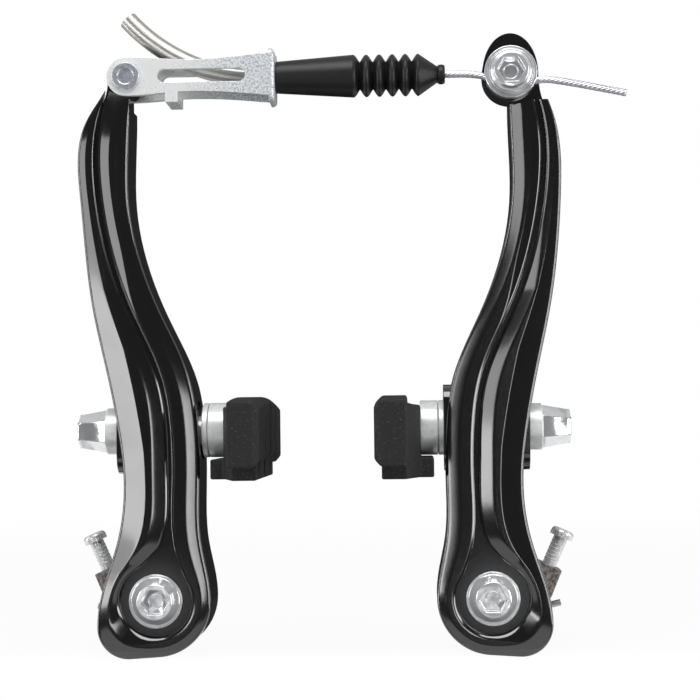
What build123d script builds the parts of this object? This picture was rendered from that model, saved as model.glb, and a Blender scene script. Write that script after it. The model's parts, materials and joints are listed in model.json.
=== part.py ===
from build123d import *
from math import atan2, cos, degrees, radians, sin
import os

# Linear-pull rim brake, millimetres. X runs across the wheel, Y points away from the viewer into
# the frame, Z is up. The origin lies midway between the two pivot axes on the frame's boss face.
# A depth is a distance forward of that face, so a depth of 20 is Y = -20.
# The right side is drawn in u (outward from its pivot axis) and v (up), and the left is its mirror.

# Frame interface and pivots
pivot_spacing = 70.0
boss_bore = 8.2
bush_wall = 0.9
bolt_shank = 5.8
running_clearance = 0.05
seat_clearance = 0.1
end_play = 0.15

# Arm forging
arm_length = 110.0
head_offset = 5.5
arm_front = 20.0
boss_back = 7.0
shank_back = 9.0
boss_radius = 11.5
heel_radius = 6.5
heel_out = 5.8
heel_drop = 5.4
hip_height = 12.0
stud_height = 35.4
edge_round = 1.0
recess_depth = 0.8
recess_radius = 7.8
recess_leave_out = 50.0
recess_leave_in = 150.0
recess_flare = 4.2
recess_tuck = 0.7
band_width = 5.5
neck_band_width = 5.6
groove_width = 1.4

# Arm outline from hip to neck: height, inner edge, outer edge
arm_stations = [
    (hip_height, -9.6, 8.1),
    (stud_height - 10.4, -9.3, 6.6),
    (stud_height, -9.1, 7.7),
    (stud_height + 11.1, -7.3, 9.8),
    (stud_height + 25.1, -1.2, 12.8),
    (arm_length - 26.0, 5.2, 15.3),
    (arm_length - 9.5, 5.0, 14.0),
]

# Arm heads
pin_head_radius = 4.05
pin_head_back = 13.0
pin_head_front = 19.0
anchor_head_width = 11.8
anchor_head_rise = 8.6
anchor_seat = 15.6
anchor_spot_radius = 7.3
head_rim_drop = 6.4

# Pad slot and the stack on the pad stud
stud_depth = 13.0
stud_diameter = 6.0
slot_clearance = 0.3
slot_travel = 6.0
slot_wall = 2.6
slot_block_height = 18.0
slot_block_round = 4.0
inner_seat = 9.6
outer_seat = 8.2
dome_thickness = 1.7
cup_thickness = 3.2
dome_radius = 30.0
inner_washer_diameter = 11.5
outer_washer_thickness = 2.8
outer_washer_diameter = 9.8
nut_length = 6.0
nut_corner_diameter = 9.2
nut_taper = 9.0
nut_cap = 1.2
nut_round = 0.5

# Brake pad
pad_thickness = 6.4
pad_length = 55.0
pad_above = 6.9
pad_below = 6.2
pad_bend_radius = 290.0
pad_chamfer = 1.3
pad_groove_width = 2.0
pad_groove_depth = 2.0
pad_groove_pitch = 13.0
pad_boss_height = 2.7
pad_boss_half = 9.0
pad_boss_run = 11.0
pad_boss_above = 4.8
pad_boss_below = 10.2
pad_shelf_reach = 2.8
stud_embed = 3.5

# Bolts
bolt_flange_diameter = 11.2
bolt_flange_thickness = 1.0
bolt_head_diameter = 10.0
bolt_crown_diameter = 7.2
bolt_crown_height = 2.0
hex_key = 5.0
hex_depth = 2.6
socket_drill = 3.0
socket_drill_depth = 1.5
anchor_shank = 4.9
anchor_washer_diameter = 11.1
anchor_washer_thickness = 1.5
anchor_washer_gap = 0.4
anchor_rim_width = 0.7
anchor_rim_height = 0.4
anchor_flange_diameter = 9.4
anchor_bolt_head_diameter = 8.4
anchor_bolt_grip = 8.0

# Return spring, its plate, post and adjuster screw
plate_back = 0.2
plate_thickness = 1.8
plate_radius = 9.0
lug_front = 6.6
lug_face_out = 12.8
lug_face_height = 5.6
lug_face_width = 5.6
lug_tip_out = 12.9
lug_tip_height = -1.4
lug_axis_angle = 66.0
screw_depth = 3.8
screw_diameter = 3.0
screw_above = 6.4
screw_below = 8.6
screw_head_diameter = 5.0
screw_head_height = 1.8
cross_length = 3.0
cross_width = 0.9
cross_depth = 0.9
wire_diameter = 1.4
coil_radius = 6.0
coil_clearance = 0.5
coil_front = 5.9
coil_back = 3.1
coil_turns = 1
coil_corners = 7
coil_corner_share = 0.95
tail_angle = -76.8
tail_length = 14.2
leg_length = 46.0
post_height = 42.0
post_diameter = 2.4
post_seat = 3.0
post_reach = 4.6
post_head_diameter = 3.8
post_head_thickness = 0.6

# Cable link
link_sheet = 1.2
link_gap = 0.3
link_length = 31.3
link_end_radius = 4.1
link_waist = 11.0
link_waist_half = 3.45
link_wide_half = 4.5
link_flare_slope = 0.1
link_slot_start = 6.6
link_slot_length = 18.6
link_slot_height = 2.8
link_wall_height = 11.4
link_wall_round = 1.4
link_bend_round = 0.9
link_tab_start = 8.3
link_tab_width = 2.6
link_tab_drop = 5.6
rivet_diameter = 4.0
rivet_head_diameter = 5.7
rivet_head_height = 0.8
rivet_dimple_diameter = 3.4
rivet_dimple_depth = 0.35

# Noodle, boot and cable
noodle_diameter = 4.0
noodle_bore = 2.2
noodle_bend_radius = 38.5
noodle_bend_angle = 48.6
noodle_nose = 5.0
collar_diameter = 6.0
collar_thickness = 1.4
cable_diameter = 1.5
keyhole_width = 2.0
boot_mouth_diameter = 6.7
boot_cuff_diameter = 9.0
boot_cuff_length = 16.4
boot_valley_diameter = 5.8
boot_ridge_diameter = 8.9
boot_ridges = 4
boot_pitch = 2.75
boot_cone_length = 4.0
boot_nose_diameter = 4.2
boot_nose_length = 1.6
boot_clearance = 0.15
tail_out = 24.2
tail_drop = 4.7
tail_bend_out = 9.5
tail_bend_drop = 1.5
cable_dip_half = 5.4
cable_flat_half = 1.6
cable_bend_radius = 2.4

# Derived places
half_spacing = pivot_spacing / 2
bush_radius = boss_bore / 2 + bush_wall
recess_floor = arm_front - recess_depth
bolt_seat = recess_floor + end_play
stud_radius = stud_diameter / 2
slot_half = stud_radius + slot_clearance
slot_block_front = stud_depth + slot_half + slot_wall
cable_depth = (pin_head_back + pin_head_front) / 2
cable_radius = cable_diameter / 2
anchor_x = half_spacing + head_offset
pin_x = -anchor_x
link_inner_half = (pin_head_front - pin_head_back) / 2 + link_gap
link_outer_half = link_inner_half + link_sheet
wall_x = pin_x + link_length
washer_back = anchor_seat + anchor_washer_gap
washer_front = washer_back + anchor_washer_thickness
cable_dip = anchor_shank / 2 + cable_radius + seat_clearance
wire_radius = wire_diameter / 2
lug_axis = Vector(cos(radians(lug_axis_angle)), 0, sin(radians(lug_axis_angle)))
cut_through = 2 * arm_length


def slab(sketch, back, front):
    """A front-view sketch made solid between two depths."""
    return extrude(Plane.XZ.offset(back) * sketch, front - back)


def disc(diameter, back, front, u=0.0, v=0.0):
    """A round bar along the pivot direction."""
    return slab(Pos(u, v) * Circle(diameter / 2), back, front)


def turned(points):
    """A body turned about the X axis from its (x, radius) profile."""
    return revolve(make_face(Polyline(*points, close=True)), Axis.X)


def on_stud(piece):
    """Moves a piece of the pad stack, drawn about the X axis, to the stud's line."""
    return Pos(0, -stud_depth, stud_height) * piece


def hex_socket_bolt(flange, head, crown, seat, shank, tip):
    """Flange, tapered crown and shank, with a hex socket and a drilled bottom."""
    top = seat + bolt_flange_thickness + bolt_crown_height
    bolt = disc(flange, seat, seat + bolt_flange_thickness)
    rise = seat + bolt_flange_thickness
    lean = degrees(atan2((head - crown) / 2, bolt_crown_height))
    bolt += extrude(Plane.XZ.offset(rise) * Circle(head / 2), bolt_crown_height, taper=lean)
    socket = RegularPolygon(hex_key / 2, 6, major_radius=False)
    bolt -= slab(socket, top - hex_depth, top)
    bolt -= disc(socket_drill, top - hex_depth - socket_drill_depth, top - hex_depth)
    return bolt + disc(shank, tip, seat)


# Arm

def arm_outline(head_half, head_rise):
    """Front outline: round boss with its heel, curved shank, and the head about the top pin."""
    outer = [(out, height) for height, _, out in arm_stations]
    inner = [(into, height) for height, into, _ in reversed(arm_stations)]
    heel_tip = (heel_out + heel_radius, -heel_drop)
    head_side = (head_offset + head_half, arm_length)
    head_inside = (inner[0][0], arm_length - head_half / 2)
    boss_side = (-boss_radius, 0)
    outer_edge = Spline(heel_tip, *outer, head_side, tangents=[(0, 1), (0, 1)])
    inner_edge = Spline(head_inside, *inner, boss_side, tangents=[(0, -1), (0, -1)])
    shank = make_face(
        [outer_edge, Line(head_side, head_inside), inner_edge, Line(boss_side, heel_tip)]
    )
    heel = Pos(heel_out, -heel_drop) * Circle(heel_radius)
    boss = make_hull(Circle(boss_radius).edges() + heel.edges())
    crown = Ellipse(head_half, head_rise) & Pos(0, head_rise / 2) * Rectangle(2 * head_half, head_rise)
    head = Pos(head_offset, arm_length) * (Circle(head_half) + crown)
    return shank + boss + head


def arm_side():
    """Side outline: deep boss and slimmer shank."""
    taper_low = stud_height + slot_block_height / 2
    taper_high = taper_low + boss_radius
    return make_face(
        Polyline(
            (-boss_back, -cut_through),
            (-boss_back, taper_low),
            (-shank_back, taper_high),
            (-shank_back, cut_through),
            (-arm_front, cut_through),
            (-arm_front, -cut_through),
            close=True,
        )
    )


def head_room(back, front):
    """Room across a head, above the rim where the bands end."""
    rim = arm_length - head_rim_drop
    return slab(Pos(0, rim + cut_through / 2) * Rectangle(cut_through, cut_through), back, front)


def recess_outline():
    """Teardrop flat round the pivot that runs out into the groove between the two bands."""
    side = [(height, into + band_width) for height, into, _ in arm_stations[1:]]
    neck_height, neck_inner, _ = arm_stations[-1]
    side[-1] = (neck_height, neck_inner + neck_band_width)
    flare_height = (hip_height + recess_radius) / 2
    ring_out = Vector(recess_radius, 0).rotate(Axis.Z, recess_leave_out)
    ring_in = Vector(recess_radius, 0).rotate(Axis.Z, recess_leave_in)
    throat = side[0][1]
    inner = [(u, height) for height, u in reversed(side)]
    outer = [(u + groove_width, height) for height, u in side]
    top_out = (outer[-1][0] - 2 * groove_width, arm_length)
    top_in = (top_out[0] - groove_width, arm_length)
    outer_edge = Spline(ring_out, (throat + recess_flare, flare_height), *outer, top_out)
    inner_edge = Spline(top_in, *inner, (throat - recess_tuck, flare_height), ring_in)
    tail = make_face([outer_edge, Line(top_out, top_in), inner_edge, Line(ring_in, ring_out)])
    return tail + Circle(recess_radius)


def slot_block():
    """Thick block behind the bands whose two side faces seat the pad washers."""
    width = inner_seat + outer_seat
    depth = slot_block_front - boss_back
    block = Box(width, depth, slot_block_height)
    block = fillet(block.edges().filter_by(Axis.X), slot_block_round)
    middle = Vector((outer_seat - inner_seat) / 2, -(slot_block_front + boss_back) / 2, stud_height)
    return Pos(middle) * block


def make_arm(head_half, head_rise, head_front):
    """The forging common to both sides, with its pivot bore, pad slot and spring post hole."""
    body = slab(arm_outline(head_half, head_rise), boss_back, arm_front)
    body &= extrude(Plane.YZ * arm_side(), cut_through, both=True)
    body -= head_room(head_front, arm_front)
    body += slot_block()
    front_face = body.faces().sort_by(Axis.Y)[0]
    body = fillet(front_face.edges().filter_by(Axis.X, reverse=True), edge_round)
    body -= slab(recess_outline(), recess_floor, arm_front + recess_depth)
    slot = SlotCenterToCenter(slot_travel, 2 * slot_half, rotation=90)
    slot_bar = extrude(Plane.YZ * slot, cut_through, both=True)
    body -= on_stud(slot_bar)
    spot_face = outer_washer_diameter + 2 * slot_clearance
    body -= on_stud(along_x(spot_face, outer_seat, outer_seat + boss_radius))
    body -= disc(2 * (bush_radius + running_clearance), boss_back, arm_front)
    post_hole = post_diameter + 2 * running_clearance
    return body - disc(post_hole, boss_back, boss_back + post_seat, post_out(), post_height)


def post_out():
    """The post stands against the outer side of the spring's leg."""
    return -coil_radius + wire_radius + running_clearance + post_diameter / 2


def pin_arm():
    """Left arm, drawn on the right: its head is bored for the link pin."""
    arm = make_arm(pin_head_radius, pin_head_radius, pin_head_front)
    arm -= head_room(boss_back, pin_head_back)
    hole = rivet_diameter + 2 * running_clearance
    return arm - disc(hole, pin_head_back, pin_head_front, head_offset, arm_length)


def anchor_arm():
    """Right arm: its head has the spot face, the anchor bolt's hole and the cable's groove."""
    arm = make_arm(anchor_head_width / 2, anchor_head_rise, anchor_seat)
    arm -= disc(2 * anchor_spot_radius, anchor_seat, arm_front, head_offset, arm_length)
    hole = anchor_shank + 2 * running_clearance
    arm -= disc(hole, shank_back, anchor_seat, head_offset, arm_length)
    return arm - Pos(-half_spacing, 0, 0) * cable_groove()


# Pivot

def pivot_bush():
    """Sleeve over the frame boss; the arm turns on its outside."""
    return disc(2 * bush_radius, 0, bolt_seat) - disc(boss_bore, 0, bolt_seat)


def pivot_bolt():
    """M6 bolt into the frame boss."""
    return hex_socket_bolt(
        bolt_flange_diameter, bolt_head_diameter, bolt_crown_diameter, bolt_seat, bolt_shank, 0
    )


def spring_plate():
    """Plate on the bush with the lug that carries the adjuster screw."""
    across = Vector(lug_axis.Z, -lug_axis.X)
    face = Vector(lug_face_out, lug_face_height)
    inner_corner = face - across * (lug_face_width / 2)
    outer_corner = face + across * (lug_face_width / 2)
    tip = Vector(lug_tip_out, lug_tip_height)
    lug = make_face(Polyline(inner_corner, outer_corner, tip, (0, 0), close=True))
    plate_front = plate_back + plate_thickness
    clear_of_coil = Circle(coil_radius + wire_radius + coil_clearance)
    plate = slab(lug + Circle(plate_radius), plate_back, plate_front)
    plate += slab(lug - clear_of_coil, plate_front, lug_front)
    plate -= disc(2 * (bush_radius + seat_clearance), plate_back, plate_front)
    return plate - on_lug(Cylinder(screw_diameter / 2 + running_clearance, cut_through))


def on_lug(piece):
    """Stands a piece drawn along Z on the lug's face, in line with the screw."""
    origin = (lug_face_out, -screw_depth, lug_face_height)
    return Plane(origin=origin, x_dir=(0, 1, 0), z_dir=lug_axis) * piece


def adjuster_screw():
    """Pan-head screw with a cross recess; its tip stands over the spring's tail."""
    length = screw_above + screw_below
    shank = Pos(0, 0, (screw_above - screw_below) / 2) * Cylinder(screw_diameter / 2, length)
    head = Cylinder(screw_head_diameter / 2, screw_head_height)
    head = fillet(head.edges().sort_by(Axis.Z)[-1], screw_head_height / 2)
    bar = Box(cross_length, cross_width, 2 * cross_depth)
    cross = bar + Rot(0, 0, 90) * bar
    head -= Pos(0, 0, screw_head_height / 2) * cross
    return on_lug(shank + Pos(0, 0, screw_above + screw_head_height / 2) * head)


def return_spring():
    """Wire that comes down the leg, winds round the bush and leaves as the tail."""
    turn = 360 * coil_turns + 180 + tail_angle
    step = turn / coil_corners
    corner_radius = coil_radius / cos(radians(step / 2))
    points = [Vector(-coil_radius, -coil_front, leg_length)]
    for corner in range(coil_corners):
        angle = radians(180 + step * (corner + 0.5))
        depth = coil_front + (coil_back - coil_front) * corner / (coil_corners - 1)
        points.append(Vector(corner_radius * cos(angle), -depth, corner_radius * sin(angle)))
    tangent_point = Vector(cos(radians(tail_angle)), 0, sin(radians(tail_angle))) * coil_radius
    tail_way = Vector(-sin(radians(tail_angle)), 0, cos(radians(tail_angle)))
    points.append(tangent_point + tail_way * tail_length - Vector(0, coil_back, 0))
    path = FilletPolyline(*points, radius=coil_corner_share * coil_radius)
    return swept(path.edges(), wire_diameter)


def spring_post():
    """Headed pin in the back of the arm that the spring's leg pushes outward."""
    back = boss_back - post_reach + wire_diameter
    post = disc(post_diameter, back, boss_back + post_seat)
    post += disc(post_head_diameter, back - post_head_thickness, back)
    return Pos(post_out(), 0, post_height) * post


# Pad stack

def dome(extra):
    """The sphere that the dome washer and the cup washer share, grown by a clearance."""
    centre = dome_radius - inner_seat - dome_thickness
    return Pos(centre, 0, 0) * Sphere(dome_radius + extra)


def stud_ring(diameter, start, end):
    """A washer blank on the pad stud."""
    return along_x(diameter, start, end) - along_x(stud_diameter + 2 * seat_clearance, start, end)


def dome_washer():
    """Thin washer, flat on the arm and domed towards the pad."""
    ring = stud_ring(inner_washer_diameter, -inner_seat, -inner_seat - dome_thickness)
    return on_stud(ring & dome(0))


def cup_washer():
    """Thick washer, cupped to sit on the dome and flat on the pad."""
    dome_sag = dome_radius - (dome_radius**2 - (inner_washer_diameter / 2) ** 2) ** 0.5
    rim = -inner_seat - dome_thickness + dome_sag - seat_clearance
    return on_stud(stud_ring(inner_washer_diameter, rim, pad_back()) - dome(seat_clearance))


def along_x(diameter, start, end):
    """A round bar along X between two places."""
    return Pos((start + end) / 2, 0, 0) * Rot(0, 90, 0) * Cylinder(diameter / 2, abs(end - start))


def pad_back():
    """Outward place of the pad's back face."""
    return -inner_seat - dome_thickness - seat_clearance - cup_thickness


def pad_stud():
    """Threaded stud from inside the pad to inside the cap nut."""
    end = outer_seat + outer_washer_thickness + nut_length - nut_cap
    return on_stud(along_x(stud_diameter, pad_back() - stud_embed, end))


def pad_boss():
    """Thick middle of the pad that carries the stud, with a shelf under the washers."""
    crest = pad_back()
    foot = crest - pad_boss_height
    inside = foot - pad_thickness + pad_chamfer
    spread = pad_boss_half + pad_boss_run
    half_plan = [(crest, pad_boss_half), (foot, spread), (inside, spread)]
    plan = half_plan + [(place, -width) for place, width in reversed(half_plan)]
    low = Plane.XY.offset(-pad_boss_below)
    boss = extrude(low * make_face(Polyline(*plan, close=True)), pad_boss_below + pad_boss_above)
    shelf_top = -inner_washer_diameter / 2 - slot_clearance
    shelf = Pos(crest + pad_shelf_reach / 2, 0) * Rectangle(pad_shelf_reach, 2 * pad_boss_half)
    return boss + extrude(low * shelf, shelf_top + pad_boss_below)


def brake_pad():
    """Rubber block bent to the rim, chamfered round its braking face and cut by water grooves."""
    back = pad_back() - pad_boss_height
    half = pad_length / 2
    sag = pad_bend_radius - (pad_bend_radius**2 - half**2) ** 0.5
    top = ThreePointArc((-half, pad_above - sag), (0, pad_above), (half, pad_above - sag))
    bottom = ThreePointArc((half, -pad_below - sag), (0, -pad_below), (-half, -pad_below - sag))
    ends = [Line(top @ 1, bottom @ 0), Line(bottom @ 1, top @ 0)]
    block = extrude(Plane.YZ.offset(back) * make_face([top, bottom] + ends), -pad_thickness)
    face = block.faces().sort_by(Axis.X)[0]
    block = chamfer(face.edges(), pad_chamfer) + pad_boss()
    cut = Box(2 * pad_groove_depth, pad_groove_width, cut_through)
    for place in (-pad_groove_pitch, 0, pad_groove_pitch):
        block -= Pos(back - pad_thickness, place, 0) * cut
    socket = stud_diameter + 2 * running_clearance
    return on_stud(block - along_x(socket, pad_back() - stud_embed, pad_back()))


def outer_washer():
    """Washer between the arm's outer seat and the nut."""
    end = outer_seat + outer_washer_thickness
    return on_stud(stud_ring(outer_washer_diameter, outer_seat, end))


def cap_nut():
    """Tapered hex nut, closed at its outer end."""
    start = outer_seat + outer_washer_thickness
    hexagon = Plane.YZ.offset(start) * RegularPolygon(nut_corner_diameter / 2, 6)
    nut = extrude(hexagon, nut_length, taper=nut_taper)
    nut = fillet(nut.faces().sort_by(Axis.X)[-1].edges(), nut_round)
    bore = stud_diameter + 2 * running_clearance
    return on_stud(nut - along_x(bore, start, start + nut_length - nut_cap))


# Cable run across the top

def cable_link():
    """Folded yoke: two slotted plates either side of the arm's head, joined by the end wall."""
    plate_end = link_length - link_sheet
    top = Spline(
        (0, link_end_radius),
        (link_waist, link_waist_half),
        (plate_end, link_wide_half),
        tangents=[(1, 0), (1, link_flare_slope)],
    )
    bottom = mirror(top, Plane.XZ)
    plate = make_face([top, Line(top @ 1, bottom @ 1), bottom, Line(bottom @ 0, top @ 0)])
    plate += Circle(link_end_radius)
    slot_middle = link_slot_start + link_slot_length / 2
    plate -= Pos(slot_middle, 0) * SlotOverall(link_slot_length, link_slot_height)
    plate -= Circle(rivet_diameter / 2 + running_clearance)
    near = cable_depth - link_outer_half
    far = cable_depth + link_outer_half
    link = slab(plate, near, near + link_sheet) + slab(plate, far - link_sheet, far)
    wall = RectangleRounded(2 * link_outer_half, link_wall_height, link_wall_round)
    wall -= Circle(noodle_diameter / 2 + running_clearance)
    wall -= Pos(0, link_wall_height / 2) * Rectangle(keyhole_width, link_wall_height)
    link += extrude(Plane.YZ.offset(plate_end) * Pos(-cable_depth, 0) * wall, link_sheet)
    tab_middle = link_tab_start + link_tab_width / 2
    cheek_height = link_tab_drop - link_slot_height
    cheek = Pos(tab_middle, cheek_height / 2 - link_tab_drop) * Rectangle(link_tab_width, cheek_height)
    floor = Pos(tab_middle, link_sheet / 2 - link_tab_drop) * Rectangle(link_tab_width, link_sheet)
    link += slab(cheek, near, near + link_sheet) + slab(cheek, far - link_sheet, far)
    link += slab(floor, near, far)
    link = fillet(link.edges().filter_by(Axis.Z).group_by(Axis.X)[-1], link_bend_round)
    return Pos(pin_x, 0, arm_length) * link


def link_pin():
    """Rivet with a low head on each side and a dimple in the front one."""
    near = cable_depth - link_outer_half
    far = cable_depth + link_outer_half
    pin = disc(rivet_diameter, near, far)
    pin += disc(rivet_head_diameter, near - rivet_head_height, near)
    pin += disc(rivet_head_diameter, far, far + rivet_head_height)
    tip = far + rivet_head_height
    pin -= disc(rivet_dimple_diameter, tip - rivet_dimple_depth, tip)
    return Pos(pin_x, 0, arm_length) * pin


def noodle_path(start_x):
    """Centre line from a place on the level run to the noodle's upper end."""
    bend = Vector(collar_back(), -cable_depth, arm_length)
    level = Line((start_x, -cable_depth, arm_length), bend)
    turn = radians(noodle_bend_angle)
    middle = bend + noodle_bend_radius * Vector(-sin(turn / 2), 0, 1 - cos(turn / 2))
    end = bend + noodle_bend_radius * Vector(-sin(turn), 0, 1 - cos(turn))
    return [level, ThreePointArc(bend, middle, end)]


def collar_back():
    """Where the noodle's bend starts, behind its collar."""
    return wall_x - link_sheet - collar_thickness


def swept(path, diameter):
    """A round bar along a path."""
    wire = Wire([edge.edge() for edge in path])
    return sweep(Plane(origin=wire @ 0, z_dir=wire % 0) * Circle(diameter / 2), wire)


def noodle():
    """Bent guide tube with the collar that seats against the link's end wall."""
    path = noodle_path(wall_x + noodle_nose)
    tube = swept(path, noodle_diameter)
    collar = along_x(collar_diameter, collar_back(), wall_x - link_sheet)
    tube += Pos(0, -cable_depth, arm_length) * collar
    return tube - swept(path, noodle_bore)


def boot():
    """Rubber bellows: plain flared cuff over the noodle's nose, ridges, cone and nose ring."""
    start = wall_x + seat_clearance
    cuff_end = start + boot_cuff_length
    points = [(start, boot_mouth_diameter / 2), (cuff_end, boot_cuff_diameter / 2)]
    for ridge in range(boot_ridges):
        valley = cuff_end + (ridge + 0.5) * boot_pitch
        points.append((valley, boot_valley_diameter / 2))
        points.append((valley + boot_pitch / 2, boot_ridge_diameter / 2))
    cone = cuff_end + (boot_ridges + 0.5) * boot_pitch
    nose = cone + boot_pitch / 2 + boot_cone_length
    end = nose + boot_nose_length
    bore = noodle_diameter / 2 + boot_clearance
    mouth = cable_radius + boot_clearance
    points += [(cone, boot_valley_diameter / 2), (cone + boot_pitch / 2, boot_ridge_diameter / 2)]
    points += [(nose, boot_nose_diameter / 2), (end, boot_nose_diameter / 2)]
    points += [(end, mouth), (cone, mouth), (cone - boot_pitch, bore), (start, bore)]
    return Pos(0, -cable_depth, arm_length) * turned(points)


def clamp_path():
    """The cable's run past the anchor bolt, which it passes on the underside, and its cut tail."""
    return FilletPolyline(
        (0, -cable_depth, arm_length),
        (anchor_x - cable_dip_half, -cable_depth, arm_length),
        (anchor_x - cable_flat_half, -cable_depth, arm_length - cable_dip),
        (anchor_x + cable_flat_half, -cable_depth, arm_length - cable_dip),
        (anchor_x + cable_dip_half, -cable_depth, arm_length - tail_bend_drop),
        (anchor_x + tail_bend_out, -cable_depth, arm_length - tail_bend_drop),
        (anchor_x + tail_out, -cable_depth, arm_length - tail_drop),
        radius=cable_bend_radius,
    )


def cable_groove():
    """Room for the clamped cable in the arm's seat and under the anchor washer."""
    return swept(clamp_path().edges(), cable_diameter + 2 * seat_clearance)


def inner_cable():
    """Wire from the noodle's upper end to the cut tail."""
    level, bend = noodle_path(0)
    guided = [bend.edge(), level.edge()]
    return swept(guided + list(clamp_path().edges()), cable_diameter)


def anchor_washer():
    """Washer with a raised rim; the groove in its back holds the cable."""
    washer = disc(anchor_washer_diameter, washer_back, washer_front + anchor_rim_height)
    dish = anchor_washer_diameter - 2 * anchor_rim_width
    washer -= disc(dish, washer_front, washer_front + anchor_rim_height)
    washer -= disc(anchor_shank + 2 * running_clearance, washer_back, washer_front)
    return Pos(anchor_x, 0, arm_length) * washer - cable_groove()


def anchor_bolt():
    """M5 bolt that clamps the cable."""
    flange = anchor_flange_diameter
    head = anchor_bolt_head_diameter
    tip = washer_front - anchor_bolt_grip
    bolt = hex_socket_bolt(flange, head, bolt_crown_diameter, washer_front, anchor_shank, tip)
    return Pos(anchor_x, 0, arm_length) * bolt


side_pieces = {
    "pivot_bush": pivot_bush(),
    "pivot_bolt": pivot_bolt(),
    "spring_plate": spring_plate(),
    "return_spring": return_spring(),
    "adjuster_screw": adjuster_screw(),
    "spring_post": spring_post(),
    "brake_pad": brake_pad(),
    "pad_stud": pad_stud(),
    "cup_washer": cup_washer(),
    "dome_washer": dome_washer(),
    "outer_washer": outer_washer(),
    "cap_nut": cap_nut(),
}
to_right = Pos(half_spacing, 0, 0)
pieces = {"right_arm": to_right * anchor_arm(), "left_arm": mirror(to_right * pin_arm(), Plane.YZ)}
for name, piece in side_pieces.items():
    pieces["right_" + name] = to_right * piece
    pieces["left_" + name] = mirror(to_right * piece, Plane.YZ)
pieces["cable_link"] = cable_link()
pieces["link_pin"] = link_pin()
pieces["noodle"] = noodle()
pieces["boot"] = boot()
pieces["inner_cable"] = inner_cable()
pieces["anchor_bolt"] = anchor_bolt()
pieces["anchor_washer"] = anchor_washer()

os.makedirs("parts", exist_ok=True)
for name, piece in pieces.items():
    export_step(piece, f"parts/{name}.step")
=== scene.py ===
import bmesh
import bpy
import json
import math
import numpy as np
from mathutils import Matrix, Vector

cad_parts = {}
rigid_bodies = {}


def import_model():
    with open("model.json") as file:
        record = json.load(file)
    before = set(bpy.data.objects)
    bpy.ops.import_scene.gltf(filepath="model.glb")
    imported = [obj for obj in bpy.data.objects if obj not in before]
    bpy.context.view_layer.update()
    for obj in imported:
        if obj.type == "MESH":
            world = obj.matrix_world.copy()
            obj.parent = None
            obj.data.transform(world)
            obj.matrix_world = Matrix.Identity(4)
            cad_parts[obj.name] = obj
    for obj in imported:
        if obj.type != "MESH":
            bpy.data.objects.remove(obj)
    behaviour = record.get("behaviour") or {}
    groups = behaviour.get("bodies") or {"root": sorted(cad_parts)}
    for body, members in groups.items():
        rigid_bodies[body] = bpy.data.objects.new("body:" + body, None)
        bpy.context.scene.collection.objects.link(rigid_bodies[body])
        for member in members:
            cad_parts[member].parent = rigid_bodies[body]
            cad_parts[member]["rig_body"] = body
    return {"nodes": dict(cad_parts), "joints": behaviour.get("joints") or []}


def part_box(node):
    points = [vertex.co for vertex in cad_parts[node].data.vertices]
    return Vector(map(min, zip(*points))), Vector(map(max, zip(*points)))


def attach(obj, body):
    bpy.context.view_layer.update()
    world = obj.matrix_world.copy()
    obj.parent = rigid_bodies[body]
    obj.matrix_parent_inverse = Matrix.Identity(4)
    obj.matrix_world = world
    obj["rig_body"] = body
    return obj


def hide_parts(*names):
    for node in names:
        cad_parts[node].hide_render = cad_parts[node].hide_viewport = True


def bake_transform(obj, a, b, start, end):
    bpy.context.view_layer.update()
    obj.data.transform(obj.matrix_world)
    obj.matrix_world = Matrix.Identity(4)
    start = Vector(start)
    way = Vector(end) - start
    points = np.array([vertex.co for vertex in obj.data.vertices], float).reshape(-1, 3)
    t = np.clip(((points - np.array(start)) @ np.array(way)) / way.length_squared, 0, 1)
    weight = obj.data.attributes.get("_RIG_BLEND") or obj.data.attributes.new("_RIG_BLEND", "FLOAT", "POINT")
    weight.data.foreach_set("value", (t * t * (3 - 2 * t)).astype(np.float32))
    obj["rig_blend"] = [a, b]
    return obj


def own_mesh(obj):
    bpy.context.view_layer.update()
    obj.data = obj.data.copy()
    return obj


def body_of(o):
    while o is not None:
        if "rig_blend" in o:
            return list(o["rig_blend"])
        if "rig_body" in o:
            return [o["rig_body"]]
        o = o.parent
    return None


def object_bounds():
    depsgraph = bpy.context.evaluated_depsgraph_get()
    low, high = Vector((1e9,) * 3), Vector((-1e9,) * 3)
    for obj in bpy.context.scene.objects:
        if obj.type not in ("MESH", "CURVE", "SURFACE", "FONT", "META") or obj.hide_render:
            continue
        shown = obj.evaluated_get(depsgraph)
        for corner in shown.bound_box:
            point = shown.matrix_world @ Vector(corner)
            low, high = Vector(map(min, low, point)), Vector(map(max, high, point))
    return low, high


# Looks of a linear-pull rim brake, metres. The viewer looks along +Y and Z is up.
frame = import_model()
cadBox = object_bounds()
nodes = frame["nodes"]
mm = 0.001
sides = {"left": -1, "right": 1}
joints = {joint["name"]: joint for joint in frame["joints"]}
pivotOut = joints["right_arm_pivot"]["pos_m"][0] / mm  # pivot axis from the middle, in mm
print("frame loaded:", len(nodes), "nodes")


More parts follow.
